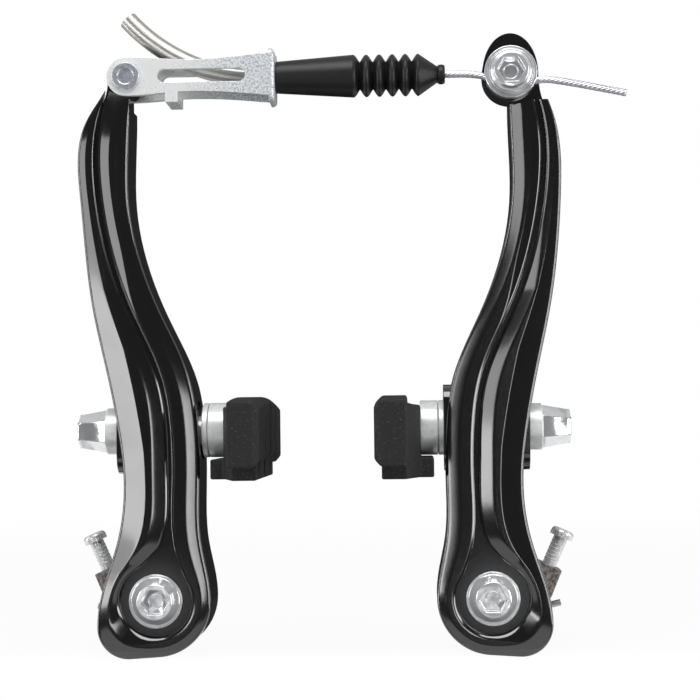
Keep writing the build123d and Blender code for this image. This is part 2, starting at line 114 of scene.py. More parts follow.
# Shader maths: a wrapped socket, on which + - * add Math nodes.
class Flow:
    def __init__(self, tree, socket=None):
        self.tree = tree
        self.socket = socket

    # Any node: its type, its settings first, then the values or links of its sockets.
    def node(self, kind, settings, sockets, output=0):
        made = self.tree.nodes.new(kind)
        for key, value in settings.items():
            setattr(made, key, value)
        for key, value in sockets.items():
            if isinstance(value, Flow):
                self.tree.links.new(value.socket, made.inputs[key])
            else:
                made.inputs[key].default_value = value
        return Flow(self.tree, made.outputs[output])

    def maths(self, operation, first, second):
        return self.node("ShaderNodeMath", {"operation": operation}, {0: first, 1: second})

    def __add__(self, other):
        return self.maths("ADD", self, other)

    def __radd__(self, other):
        return self.maths("ADD", other, self)

    def __sub__(self, other):
        return self.maths("SUBTRACT", self, other)

    def __rsub__(self, other):
        return self.maths("SUBTRACT", other, self)

    def __mul__(self, other):
        return self.maths("MULTIPLY", self, other)

    def __rmul__(self, other):
        return self.maths("MULTIPLY", other, self)


# A finish starts with its fixed sockets; what varies is fed in afterwards.
class Finish:
    def __init__(self, name, fixed):
        self.material = bpy.data.materials.new(name)
        self.material.use_nodes = True
        tree = self.material.node_tree
        self.shader = tree.nodes["Principled BSDF"]
        for key, value in fixed.items():
            self.shader.inputs[key].default_value = value
        self.flow = Flow(tree)
        self.coords = self.flow.node("ShaderNodeTexCoord", {}, {}, 3)

    def feed(self, socket, value):
        self.flow.tree.links.new(value.socket, self.shader.inputs[socket])

    # Fractal noise on Object coordinates, scale in waves per metre.
    def noise(self, scale, detail=3.0, rough=0.55):
        sockets = {"Vector": self.coords, "Scale": scale, "Detail": detail, "Roughness": rough}
        return self.flow.node("ShaderNodeTexNoise", {}, sockets)

    # Smooth step of a value between two levels.
    def step(self, value, low, high):
        settings = {"interpolation_type": "SMOOTHSTEP"}
        sockets = {"Value": value, "From Min": low, "From Max": high}
        return self.flow.node("ShaderNodeMapRange", settings, sockets)

    # Two colours mixed by a share.
    def mix(self, share, first, second):
        sockets = {"Factor": share, 6: (*first, 1), 7: (*second, 1)}
        return self.flow.node("ShaderNodeMix", {"data_type": "RGBA"}, sockets, 2)

    # Bump from a height, its distance in metres.
    def bump(self, height, strength, distance):
        sockets = {"Strength": strength, "Distance": distance, "Height": height}
        self.feed("Normal", self.flow.node("ShaderNodeBump", {}, sockets))


# Gloss black enamel: deep black with fine waviness and a few pale dust specks.
enamelLook = {
    "black": (0.0045, 0.0045, 0.005),
    "speck": (0.06, 0.06, 0.06),
    "speckScale": 2600,
    "speckLevels": (0.80, 0.84),
    "coatRough": 0.10,
    "rough": 0.10,
    "roughSpread": 0.06,
    "roughScale": 300,
    "waveScale": 420,
    "fineScale": 1900,
    "fineShare": 0.15,
    "bumpStrength": 0.015,
    "bumpDepth": 0.0004,
}


def armEnamel():
    e = enamelLook
    fixed = {"Specular IOR Level": 1.0, "Coat Weight": 1.0, "Coat Roughness": e["coatRough"]}
    look = Finish("armEnamel", fixed)
    specks = look.step(look.noise(e["speckScale"], detail=1.0), *e["speckLevels"])
    look.feed("Base Color", look.mix(specks, e["black"], e["speck"]))
    look.feed("Roughness", e["rough"] + e["roughSpread"] * look.noise(e["roughScale"]))
    broad = look.noise(e["waveScale"], detail=2.0)
    fine = look.noise(e["fineScale"], detail=2.0)
    look.bump(broad + e["fineShare"] * fine, e["bumpStrength"], e["bumpDepth"])
    return look.material


# Bright zinc plate: pale blue-white metal with soft cloudy patches.
zincLooks = {
    "zincBolt": {"bright": (0.96, 0.97, 0.98), "dull": (0.82, 0.84, 0.87),
                 "rough": 0.09, "grain": 500, "metal": 0.62},
    "zincNut": {"bright": (0.93, 0.94, 0.95), "dull": (0.82, 0.84, 0.86),
                "rough": 0.10, "grain": 600, "metal": 0.75},
    "zincWasher": {"bright": (0.93, 0.94, 0.94), "dull": (0.78, 0.79, 0.80),
                   "rough": 0.34, "grain": 900, "metal": 0.35},
    "zincScrew": {"bright": (0.84, 0.85, 0.86), "dull": (0.70, 0.70, 0.70),
                  "rough": 0.30, "grain": 900, "metal": 0.6},
    "rivetZinc": {"bright": (0.88, 0.90, 0.94), "dull": (0.40, 0.44, 0.54),
                  "rough": 0.20, "grain": 1500, "metal": 0.7},
}
zincCloud = {
    "levels": (0.35, 0.70),
    "dulling": 0.08,
    "finer": 3,
    "bumpStrength": 0.04,
    "bumpDepth": 0.0002,
}


def brightZinc(name):
    z = zincLooks[name]
    c = zincCloud
    look = Finish(name, {"Metallic": z["metal"]})
    cloud = look.step(look.noise(z["grain"], detail=4.0, rough=0.65), *c["levels"])
    look.feed("Base Color", look.mix(cloud, z["bright"], z["dull"]))
    look.feed("Roughness", z["rough"] + c["dulling"] * cloud)
    look.bump(look.noise(z["grain"] * c["finer"]), c["bumpStrength"], c["bumpDepth"])
    return look.material


# Pressed sheet: smooth zinc at the pin end, etched mottling towards the end wall.
sheetLook = {
    "metal": 0.25,
    "bright": (0.97, 0.98, 0.985),
    "etched": (0.36, 0.41, 0.48),
    "etchedOver": (-0.034, -0.014),  # X in metres
    "grain": 2200,
    "patchLevels": (0.43, 0.61),
    "rough": 0.24,
    "etchedRough": 0.22,
    "unevenRough": 0.08,
    "unevenScale": 700,
    "bumpStrength": 0.14,
    "bumpDepth": 0.0002,
}


def linkSheet():
    k = sheetLook
    look = Finish("linkSheet", {"Metallic": k["metal"]})
    along = look.flow.node("ShaderNodeSeparateXYZ", {}, {"Vector": look.coords})
    etched = look.step(along, *k["etchedOver"])
    patches = look.step(look.noise(k["grain"], detail=5.0, rough=0.7), *k["patchLevels"]) * etched
    look.feed("Base Color", look.mix(patches, k["bright"], k["etched"]))
    uneven = k["unevenRough"] * look.noise(k["unevenScale"])
    look.feed("Roughness", k["rough"] + k["etchedRough"] * patches + uneven)
    look.bump(look.noise(k["grain"], detail=4.0), k["bumpStrength"], k["bumpDepth"])
    return look.material


# Stainless tube, drawn along its length: the streaks are noise on the distance from the bend's
# centre and on the depth, so that they follow the bend.
tubeLook = {
    "metal": 0.85,
    "bendCentre": (-0.0118, -0.016, 0.1485),
    "dark": (0.40, 0.39, 0.37),
    "pale": (0.70, 0.69, 0.66),
    "streakScale": 2200,
    "streakLevels": (0.30, 0.70),
    "rough": 0.24,
    "streakRough": 0.14,
    "bumpStrength": 0.10,
    "bumpDepth": 0.0002,
}


def drawnTube():
    k = tubeLook
    look = Finish("drawnTube", {"Metallic": k["metal"]})
    flow = look.flow
    settings = {"operation": "SUBTRACT"}
    arm = flow.node("ShaderNodeVectorMath", settings, {0: look.coords, 1: k["bendCentre"]})
    flat = flow.node("ShaderNodeVectorMath", {"operation": "MULTIPLY"}, {0: arm, 1: (1, 0, 1)})
    radius = flow.node("ShaderNodeVectorMath", {"operation": "LENGTH"}, {0: flat}, "Value")
    depth = flow.node("ShaderNodeSeparateXYZ", {}, {"Vector": look.coords}, 1)
    across = flow.node("ShaderNodeCombineXYZ", {}, {0: radius, 1: depth})
    sockets = {"Vector": across, "Scale": k["streakScale"], "Detail": 3.0, "Roughness": 0.6}
    streaks = look.step(flow.node("ShaderNodeTexNoise", {}, sockets), *k["streakLevels"])
    look.feed("Base Color", look.mix(streaks, k["dark"], k["pale"]))
    look.feed("Roughness", k["rough"] + k["streakRough"] * streaks)
    look.bump(streaks, k["bumpStrength"], k["bumpDepth"])
    return look.material


# Moulded rubber with pale grit; the higher the level it starts at, the less of it shows.
rubberLooks = {
    "padRubber": {"colour": (0.012, 0.012, 0.012), "grit": (0.10, 0.10, 0.10), "gritFrom": 0.60,
                  "grain": 2200, "rough": 0.60, "bumpStrength": 0.5},
    "bootRubber": {"colour": (0.010, 0.010, 0.011), "grit": (0.03, 0.03, 0.03), "gritFrom": 0.70,
                   "grain": 1500, "rough": 0.34, "bumpStrength": 0.08},
}
rubberGrain = {
    "shine": 0.4,
    "gritOver": 0.10,
    "coarser": 3,
    "unevenRough": 0.12,
    "bumpDepth": 0.0004,
}


def mouldedRubber(name):
    k = rubberLooks[name]
    g = rubberGrain
    look = Finish(name, {"Specular IOR Level": g["shine"]})
    start = k["gritFrom"]
    grit = look.step(look.noise(k["grain"], rough=0.7), start, start + g["gritOver"])
    look.feed("Base Color", look.mix(grit, k["colour"], k["grit"]))
    look.feed("Roughness", k["rough"] + g["unevenRough"] * look.noise(k["grain"] / g["coarser"]))
    height = look.noise(k["grain"], detail=4.0, rough=0.65)
    look.bump(height, k["bumpStrength"], g["bumpDepth"])
    return look.material


# Sintered steel lug: brown-grey, open grain.
lugLook = {
    "metal": 0.7,
    "dark": (0.10, 0.085, 0.08),
    "pale": (0.40, 0.36, 0.34),
    "grain": 1700,
    "grainLevels": (0.35, 0.68),
    "rough": 0.38,
    "grainRough": 0.2,
    "bumpStrength": 0.35,
    "bumpDepth": 0.0003,
}


def sinteredSteel():
    k = lugLook
    look = Finish("sinteredSteel", {"Metallic": k["metal"]})
    grain = look.step(look.noise(k["grain"], detail=4.0, rough=0.7), *k["grainLevels"])
    look.feed("Base Color", look.mix(grain, k["dark"], k["pale"]))
    look.feed("Roughness", k["rough"] + k["grainRough"] * grain)
    look.bump(grain, k["bumpStrength"], k["bumpDepth"])
    return look.material


# Plain steel: fine grain that darkens and dulls it a little.
steelLooks = {
    "springWire": {"colour": (0.42, 0.43, 0.45), "rough": 0.28},
    "bushSteel": {"colour": (0.55, 0.55, 0.55), "rough": 0.30},
    "cableWire": {"colour": (0.66, 0.64, 0.70), "rough": 0.30},
}
steelGrain = {"scale": 1500, "darker": 0.8, "rougher": 0.12}


def plainSteel(name):
    k = steelLooks[name]
    look = Finish(name, {"Metallic": 1.0})
    fine = look.noise(steelGrain["scale"])
    darker = tuple(steelGrain["darker"] * part for part in k["colour"])
    look.feed("Base Color", look.mix(fine, k["colour"], darker))
    look.feed("Roughness", k["rough"] + steelGrain["rougher"] * fine)
    return look.material


enamel = armEnamel()
sheet = linkSheet()
tube = drawnTube()
sintered = sinteredSteel()
zincBolt, zincNut, zincWasher, zincScrew, rivetZinc = (brightZinc(name) for name in zincLooks)
padRubber, bootRubber = (mouldedRubber(name) for name in rubberLooks)
springWire, bushSteel, cableWire = (plainSteel(name) for name in steelLooks)

finishes = {
    "arm": enamel,
    "pivot_bush": bushSteel,
    "pivot_bolt": zincBolt,
    "spring_plate": sintered,
    "return_spring": springWire,
    "adjuster_screw": zincScrew,
    "spring_post": bushSteel,
    "brake_pad": padRubber,
    "pad_stud": zincScrew,
    "cup_washer": zincWasher,
    "dome_washer": zincWasher,
    "outer_washer": zincWasher,
    "cap_nut": zincNut,
    "cable_link": sheet,
    "link_pin": rivetZinc,
    "noodle": tube,
    "boot": bootRubber,
    "inner_cable": cableWire,
    "anchor_bolt": zincBolt,
    "anchor_washer": zincBolt,
}


# What a node is called without its side.
def kindOf(name):
    return name.removeprefix("left_").removeprefix("right_")


for name, node in nodes.items():
    node.data.materials.clear()
    node.data.materials.append(finishes[kindOf(name)])
print("finishes:", len(finishes))


# Quads of a grid of rows by columns; columns always close on themselves, rows only if asked.
def gridFaces(rows, columns, closeRows=False):
    row = np.arange(rows if closeRows else rows - 1)[:, None]
    column = np.arange(columns)[None, :]
    nextRow = (row + 1) % rows
    nextColumn = (column + 1) % columns
    corners = [row * columns + column, row * columns + nextColumn,
               nextRow * columns + nextColumn, nextRow * columns + column]
    return np.stack([np.broadcast_to(c, (len(row), columns)).ravel() for c in corners], axis=1)


# A new object in the scene.
def addObject(name, data):
    made = bpy.data.objects.new(name, data)
    bpy.context.scene.collection.objects.link(made)
    return made


# Makes a piece from grids of points in millimetres; each grid is a row of closed loops. Edges that
# bend by more than sharp, in degrees, stay sharp.
def makePiece(name, grids, body, slot, material, ringed=False, flip=False, sharp=38):
    points = []
    faces = []
    offset = 0
    for grid in grids:
        rows, columns, _ = grid.shape
        quads = gridFaces(rows, columns, ringed) + offset
        faces += quads.tolist()
        if not ringed:
            faces.append(list(range(offset + columns - 1, offset - 1, -1)))
            last = offset + (rows - 1) * columns
            faces.append(list(range(last, last + columns)))
        points.append(grid.reshape(-1, 3))
        offset += rows * columns
    if flip:
        faces = [face[::-1] for face in faces]
    mesh = bpy.data.meshes.new(name)
    mesh.from_pydata((np.concatenate(points) * mm).tolist(), [], faces)
    mesh.shade_smooth()
    mesh.set_sharp_from_angle(angle=math.radians(sharp))
    mesh.materials.append(material)
    piece = addObject(name, mesh)
    if body:
        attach(piece, body)  # a blended piece rides on its two bodies instead
    return piece


# Cubic through the points, smooth in slope and curvature, with unit end slopes where given.
def smoothCurve(points, count, startSlope=None, endSlope=None):
    points = np.array(points, float)
    gaps = np.linalg.norm(np.diff(points, axis=0), axis=1)
    size = len(points)
    matrix = np.zeros((size, size))
    right = np.zeros((size, points.shape[1]))
    for i in range(1, size - 1):
        matrix[i, i - 1] = 1 / gaps[i - 1]
        matrix[i, i] = 2 / gaps[i - 1] + 2 / gaps[i]
        matrix[i, i + 1] = 1 / gaps[i]
        rise = (points[i] - points[i - 1]) / gaps[i - 1] ** 2
        right[i] = 3 * (rise + (points[i + 1] - points[i]) / gaps[i] ** 2)
    for end, near, gap, slope in ((0, 1, gaps[0], startSlope), (-1, -2, gaps[-1], endSlope)):
        matrix[end, end] = 1 if slope else 2
        matrix[end, near] = 0 if slope else 1
        chord = (points[near] - points[end]) / gap * (1 if end == 0 else -1)
        right[end] = slope if slope else 3 * chord
    slopes = np.linalg.solve(matrix, right)
    knots = np.concatenate([[0], np.cumsum(gaps)])
    place = np.linspace(0, knots[-1], count)
    span = np.clip(np.searchsorted(knots, place, "right") - 1, 0, size - 2)
    width = gaps[span][:, None]
    s = ((place - knots[span])[:, None]) / width
    curve = (2 * s**3 - 3 * s**2 + 1) * points[span] + (s**3 - 2 * s**2 + s) * width * slopes[span]
    return curve + (3 * s**2 - 2 * s**3) * points[span + 1] + (s**3 - s**2) * width * slopes[span + 1]


# The same stretch at evenly spaced places along its length.
def evenly(curve, count):
    steps = np.linalg.norm(np.diff(curve, axis=0), axis=1)
    travel = np.concatenate([[0], np.cumsum(steps)])
    place = np.linspace(0, travel[-1], count)
    return np.stack([np.interp(place, travel, curve[:, k]) for k in range(curve.shape[1])], axis=1)


# Points of an arc between two angles in degrees.
def arc(centre, radius, start, end, count):
    angle = np.radians(np.linspace(start, end, count))
    return np.array(centre) + radius * np.stack([np.cos(angle), np.sin(angle)], axis=1)


# A smooth step of a share from 0 to 1.
def eased(share):
    return share * share * (3 - 2 * share)


# Crowned bands on the arms' fronts: the right side in u (outward from the pivot) and v (up), mm.
# Rows count along the band, from the neck down the inner side, round the pivot and up again.
armBand = {
    # height, inner edge and outer edge
    "stations": [(12, -9.6, 8.1), (25, -9.3, 6.6), (35.4, -9.1, 7.7), (46.5, -7.3, 9.8),
                 (60.5, -1.2, 12.8), (84, 5.2, 15.3), (100.5, 5.0, 14.0)],
    "headHeight": 110.0,
    "headOut": 5.5,
    "headHalf": {"left": 4.05, "right": 5.9},
    "headClear": {"left": 4.3, "right": 7.75},  # the bands keep this far from the head's centre
    "rim": {"left": 107.0, "right": 103.5},  # and below this height
    "tuck": {"left": 1.0, "right": 0.0},
    "tuckFrom": 96.0,
    "tuckOver": 9.7,
    "tuckFade": 0.85,
    "thinnest": 0.1,
    "bossRadius": 11.5,
    "heel": (5.8, -5.4),
    "heelRadius": 6.5,
    "recessRadius": 7.8,
    "leaveIn": 150.0,  # angles at which the recess opens into the groove
    "leaveOut": 50.0,
    "flareHeight": 9.9,
    "throat": (-4.5, 0.4),
    "bandWidth": 5.5,
    "neckWidth": 5.6,
    "grooveWidth": 1.4,
    "outset": 0.06,
    "overGroove": 0.28,
    "top": 21.0,
    "foot": 18.6,
    # width and slope of the bevel and of the bank, at the neck, then inside, then outside
    "neckBand": {"bevel": 3.0, "bevelSlope": 0.34, "bank": 2.6, "bankSlope": 0.20},
    "innerBand": {"bevel": 3.1, "bevelSlope": 0.235, "bank": 0.8, "bankSlope": 0.15},
    "outerBand": {"bevel": 5.2, "bevelSlope": 0.24, "bank": 3.5, "bankSlope": 0.30},
    "neckRows": (45, 72),  # rows over which one shape turns into the next
    "heelRows": (140, 205),
    "bankFrom": 3.0,  # most of a bank: a share of the width beyond this, or of a narrow width
    "bankShare": 0.9,
    "narrowBank": 0.2,
    "crest": 0.45,
    "edgeRound": 0.6,
    "lipRound": 0.2,
    "lipBevel": 0.45,
    "lipSlope": 0.47,
    "lipCurve": 0.16,
    "edgeShare": 0.25,  # most that edge, lip and bevel take of the width
    "lipShare": 0.15,
    "bevelShare": 0.52,
    "turnIn": 4.0,  # heights at which the turn round the pivot starts and ends
    "turnOut": 6.0,
    "rowCounts": (150, 110, 150),
    "curvePoints": 900,
    "arcPoints": 200,
    "ringPoints": 400,
    "roundPoints": 9,
    "runPoints": 14,
}


# Stretches of the outline and of the recess edge, each from the neck down, round and up again.
def bandEdges(side):
    a = armBand
    half = a["headHalf"][side]
    count = a["curvePoints"]
    inner = [(into, height) for height, into, _ in reversed(a["stations"])]
    outer = [(out, height) for height, _, out in a["stations"]]
    headInside = (inner[0][0], a["headHeight"] - half / 2)
    heelTip = (a["heel"][0] + a["heelRadius"], a["heel"][1])
    headSide = (a["headOut"] + half, a["headHeight"])
    down = smoothCurve([headInside, *inner, (-a["bossRadius"], 0)], count, (0, -1), (0, -1))
    up = smoothCurve([heelTip, *outer, headSide], count, (0, 1), (0, 1))
    apart = math.hypot(*a["heel"])
    lean = math.degrees(math.atan2(a["heel"][1], a["heel"][0]))
    touch = 360 + lean - math.degrees(math.acos((a["bossRadius"] - a["heelRadius"]) / apart))
    boss = arc((0, 0), a["bossRadius"], 180, touch, a["arcPoints"])
    heel = arc(a["heel"], a["heelRadius"], touch, 360, a["arcPoints"])
    groove = [(height, into + a["bandWidth"]) for height, into, _ in a["stations"][1:]]
    groove[-1] = (groove[-1][0], a["stations"][-1][1] + a["neckWidth"])
    topOut = groove[-1][1] - a["grooveWidth"]
    grooveIn = [(u, height) for height, u in reversed(groove)]
    grooveOut = [(u + a["grooveWidth"], height) for height, u in groove]
    ring = arc((0, 0), a["recessRadius"], a["leaveIn"], a["leaveOut"] + 360, a["ringPoints"])
    flareIn, flareOut = ((u, a["flareHeight"]) for u in a["throat"])
    topIn = (topOut - a["grooveWidth"], a["headHeight"])
    recessDown = smoothCurve([topIn, *grooveIn, flareIn, ring[0]], count)
    recessUp = smoothCurve([ring[-1], flareOut, *grooveOut, (topOut, a["headHeight"])], count)
    head = np.array((a["headOut"], a["headHeight"]))

    def belowHead(curve):
        clear = np.linalg.norm(curve - head, axis=1) >= a["headClear"][side]
        return curve[clear & (curve[:, 1] <= a["rim"][side])]

    # the turn takes in the outline's lower ends, so that the section stays square to the band
    low = down[:, 1] < a["turnIn"]
    start = up[:, 1] < a["turnOut"]
    turn = np.concatenate([down[low], boss[1:], heel[1:], up[start][1:]])
    outline = [belowHead(down[~low]), turn, belowHead(up[~start])]
    recess = [belowHead(recessDown), ring, belowHead(recessUp)]
    joined = []
    for parts in (outline, recess):
        first, middle, last = (evenly(part, rows) for part, rows in zip(parts, a["rowCounts"]))
        joined.append(np.concatenate([first, middle[1:-1], last]))
    return joined


# Section from outline to groove: a round edge, a bevel up to a soft crest, a bank down to the groove
# and a bevelled lip. Returns places across the band and the drop below its top, a row for each width.
def bandSection(width):
    a = armBand
    row = np.arange(len(width))[:, None]
    shape = a["neckBand"]
    for rows, reached in (("neckRows", "innerBand"), ("heelRows", "outerBand")):
        start, end = a[rows]
        change = eased(np.clip((row - start) / (end - start), 0, 1))
        shape = {key: value + (a[reached][key] - value) * change for key, value in shape.items()}
    edge = np.minimum(a["edgeRound"], a["edgeShare"] * width)
    lip = np.minimum(a["lipRound"], a["lipShare"] * width)
    lipStart = width - lip - a["lipBevel"]
    bevel = np.minimum(shape["bevel"], a["bevelShare"] * width)
    bank = np.maximum(a["bankShare"] * (width - a["bankFrom"]), a["narrowBank"] * width)
    bank = np.minimum(shape["bank"], bank)
    crestOut = width - bank
    turn = np.linspace(0, np.pi / 2, a["roundPoints"])[None, :]
    run = np.linspace(0, 1, a["runPoints"])[None, 1:]
    flat = eased(run)
    stretches = [edge * (1 - np.cos(turn)), edge + (bevel - edge) * (1 - (1 - run) ** 2)]
    stretches += [bevel + (crestOut - bevel) * flat, crestOut + (lipStart - crestOut) * flat]
    stretches += [lipStart + a["lipBevel"] * flat, width - lip + lip * np.sin(turn[:, 1:])]
    place = np.concatenate(stretches, axis=1)
    below = np.clip(bevel - place, 0, None)
    beyond = np.clip(place - crestOut, 0, None)
    drop = shape["bevelSlope"] * below**2 / (below + a["crest"])
    drop += shape["bankSlope"] * beyond**2 / (beyond + a["crest"])
    onLip = np.clip(place - lipStart, 0, None)
    drop += (a["lipSlope"] - shape["bankSlope"]) * onLip + a["lipCurve"] * onLip**2
    drop += edge - np.sqrt(edge**2 - np.clip(edge - place, 0, edge) ** 2)
    drop += lip - np.sqrt(np.clip(lip**2 - np.clip(place - width + lip, 0, lip) ** 2, 0, None))
    return place, drop


# The section carried from the neck round the pivot and up again, closed by a flat foot.
def makeBand(side):
    a = armBand
    outline, recess = bandEdges(side)
    across = recess - outline
    way = across / np.linalg.norm(across, axis=1)[:, None]
    outline = outline - way * a["outset"]
    recess = recess + way * a["overGroove"]
    width = np.linalg.norm(recess - outline, axis=1)[:, None]
    place, drop = bandSection(width)
    flat = outline[:, None, :] + place[:, :, None] * way[:, None, :]
    flat = np.concatenate([flat, np.stack([recess, outline], axis=1)], axis=1)
    footDepth = np.full((len(outline), 2), a["foot"])
    rise = np.clip((flat[:, :-2, 1] - a["tuckFrom"]) / a["tuckOver"], 0, None)
    tuck = a["tuck"][side] * rise**2  # the front sinks towards the link, and its bevel fades
    depth = a["top"] - tuck - drop * np.clip(1 - tuck / a["tuckFade"], 0, 1)
    depth = np.concatenate([np.maximum(depth, a["foot"] + a["thinnest"]), footDepth], axis=1)
    hand = sides[side]
    grid = np.stack([hand * (pivotOut + flat[..., 0]), -depth, flat[..., 1]], axis=2)
    makePiece(side + "ArmBand", [grid], side + "_arm", "arm_enamel", enamel, flip=hand > 0)


for side in sides:
    makeBand(side)
print("arm bands made")


# Two directions square to a path at each of its points, the first also square to the depth.
def squareTo(path):
    way = np.gradient(path, axis=0)
    way /= np.linalg.norm(way, axis=1)[:, None]
    across = np.cross(way, (0, 1, 0))
    across /= np.linalg.norm(across, axis=1)[:, None]
    return across, np.cross(across, way)


# A tube of one radius along a path: circles square to it.
def tubeGrid(path, radius, count):
    across, up = squareTo(path)
    angle = np.linspace(0, 2 * np.pi, count, endpoint=False)
    ring = np.cos(angle)[:, None, None] * across + np.sin(angle)[:, None, None] * up
    return (path[None] + radius * ring).transpose(1, 0, 2)


# Return springs: leg straight down, helix round the bush, straight tail under the adjuster screw.
spring = {
    "wireRadius": 0.7,
    "coilRadius": 6.0,
    "legTop": 46.0,
    "depths": (5.9, 3.1),  # of the leg and of the tail
    "tailAngle": -76.8,
    "tailLength": 14.2,
    "joint": 0.1,  # the leg ends and the tail starts this far from the coil
    "legPoints": 90,
    "coilPoints": 220,
    "tailPoints": 40,
    "wireSides": 20,
    "blendFrom": 4.0,
    "blendTo": 42.0,
}


def makeSpring(side):
    s = spring
    hand = sides[side]
    turn = 360 + 180 + s["tailAngle"]  # from the leg's side once round and on to the tail
    counts = s["legPoints"], s["coilPoints"], s["tailPoints"]
    leg = np.linspace((-s["coilRadius"], s["legTop"]), (-s["coilRadius"], s["joint"]), counts[0])
    coil = arc((0, 0), s["coilRadius"], 180, 180 + turn, counts[1])
    end = math.radians(s["tailAngle"])
    tailWay = np.array((-math.sin(end), math.cos(end)))
    tail = coil[-1] + np.linspace(s["joint"], s["tailLength"], counts[2])[:, None] * tailWay
    flat = np.concatenate([leg, coil, tail])
    front, back = s["depths"]
    depth = np.concatenate([np.full(counts[0], front), np.linspace(front, back, counts[1]),
                            np.full(counts[2], back)])
    path = np.stack([hand * (pivotOut + flat[:, 0]), -depth, flat[:, 1]], axis=1)
    grid = tubeGrid(path, s["wireRadius"], s["wireSides"])
    piece = makePiece(side + "SpringWire", [grid], None, "spring_wire", springWire)
    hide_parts(side + "_return_spring")
    legX = hand * (pivotOut - s["coilRadius"]) * mm
    start = (legX, -front * mm, s["blendFrom"] * mm)
    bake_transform(piece, "frame_side", side + "_arm", start, (legX, -front * mm, s["blendTo"] * mm))


for side in sides:
    makeSpring(side)
print("springs made")


# Boot: a radius along X turned about the cable's line, with a bore, closed like a ring.
boot = {
    "axis": (-16.0, 110.0),  # Y and Z of the cable's line
    "mouthRadius": 3.35,
    "cuffRadius": 4.5,
    "cuffLength": 16.4,
    "valleyRadius": 2.9,
    "ridgeRadius": 4.45,
    "ridges": 5,
    "pitch": 2.75,
    "coneLength": 4.0,
    "noseRadius": 2.1,
    "waistRadius": 1.7,
    "noseLength": 1.6,
    "boreRadius": 2.15,
    "cableHole": 0.9,
    "swellPower": 0.6,  # under 1 it makes the ridges fuller
    "cuffPoints": 30,
    "ridgePoints": 40,
    "conePoints": 16,
    "beadPoints": 16,
    "sides": 96,
    "sharp": 50,
    "keep": 0.70,
}


def makeBoot():
    b = boot
    low, high = (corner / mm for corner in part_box("boot"))
    start, end = low[0], high[0]
    cuffEnd = start + b["cuffLength"]
    ridgesEnd = cuffEnd + b["ridges"] * b["pitch"]
    coneEnd = ridgesEnd + b["coneLength"]
    cuff = np.linspace(0, 1, b["cuffPoints"])
    cuffX = start + cuff * b["cuffLength"]
    cuffR = b["mouthRadius"] + (b["cuffRadius"] - b["mouthRadius"]) * cuff
    wave = np.linspace(0, b["ridges"], b["ridgePoints"] * b["ridges"] + 1)[1:]
    waveX = cuffEnd + wave * b["pitch"]
    swell = (0.5 + 0.5 * np.cos(2 * np.pi * wave)) ** b["swellPower"]
    waveR = b["valleyRadius"] + (b["ridgeRadius"] - b["valleyRadius"]) * swell
    cone = np.linspace(0, 1, b["conePoints"])[1:]
    coneX = ridgesEnd + cone * (coneEnd - ridgesEnd)
    coneR = b["ridgeRadius"] + (b["waistRadius"] - b["ridgeRadius"]) * cone
    bead = np.linspace(0, np.pi, b["beadPoints"])[1:-1]
    beadX = end - b["noseLength"] * (0.5 + 0.5 * np.cos(bead))
    beadR = b["waistRadius"] + (b["noseRadius"] - b["waistRadius"]) * np.sin(bead)
    hole, bore = b["cableHole"], b["boreRadius"]
    noseX = np.concatenate([beadX, [end, end, ridgesEnd, cuffEnd, start]])
    noseR = np.concatenate([beadR, [b["waistRadius"], hole, hole, bore, bore]])
    x = np.concatenate([cuffX, waveX, coneX, noseX])
    r = np.concatenate([cuffR, waveR, coneR, noseR])
    angle = np.linspace(0, 2 * np.pi, b["sides"], endpoint=False)
    y = b["axis"][0] + r[:, None] * np.cos(angle)
    z = b["axis"][1] + r[:, None] * np.sin(angle)
    grid = np.stack([np.broadcast_to(x[:, None], y.shape), y, z], axis=2)
    settings = {"ringed": True, "sharp": b["sharp"]}
    piece = makePiece("bootBellows", [grid], "link", "boot_rubber", bootRubber, **settings)
    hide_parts("boot")
    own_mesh(piece)


makeBoot()
print("boot made")


# Cable: the points of each route, as X and Z, steer a smooth spline, and strands wind round it.
cable = {
    "depth": 16.0,
    "anchor": (40.5, 110.0),
    "radius": 0.75,
    "strands": 7,
    "strandRadius": 0.27,
    "windRadius": 0.48,
    "lay": 7.0,
    "guided": [(-40.68, 123.04), (-35.2, 116.82), (-20.09, 110.0), (-3.5, 110.0), (2.0, 110.0)],
    "guidedSteps": 12,
    "slide": (2.0, 18.3),
    "slideKeep": 0.05,
    "slidePoints": 8,
    # from the anchor
    "clamped": [(-22.2, 0.0), (-16.5, 0.0), (-5.4, 0.0), (-1.6, -3.3), (1.6, -3.3), (5.4, -1.5),
                (9.5, -1.5), (24.2, -4.7)],
    "clampedSteps": 24,
    "clampHalf": 2.0,
    "runPoints": 260,
    "tubeSides": 12,
    "strandSides": 8,
}


# Points of a spline of order 3, which starts and ends on its route and rounds off the bends.
def splinePoints(name, points, resolution):
    curve = bpy.data.curves.new(name, "CURVE")
    curve.dimensions = "3D"
    route = curve.splines.new("NURBS")
    route.points.add(len(points) - 1)
    for point, place in zip(route.points, points):
        point.co = (*place, 1)
    route.order_u = 3
    route.use_endpoint_u = True
    route.resolution_u = resolution
    holder = bpy.data.objects.new(name, curve)
    mesh = bpy.data.meshes.new_from_object(holder)
    places = np.empty(3 * len(mesh.vertices))
    mesh.vertices.foreach_get("co", places)
    bpy.data.objects.remove(holder)
    bpy.data.meshes.remove(mesh)
    return places.reshape(-1, 3)


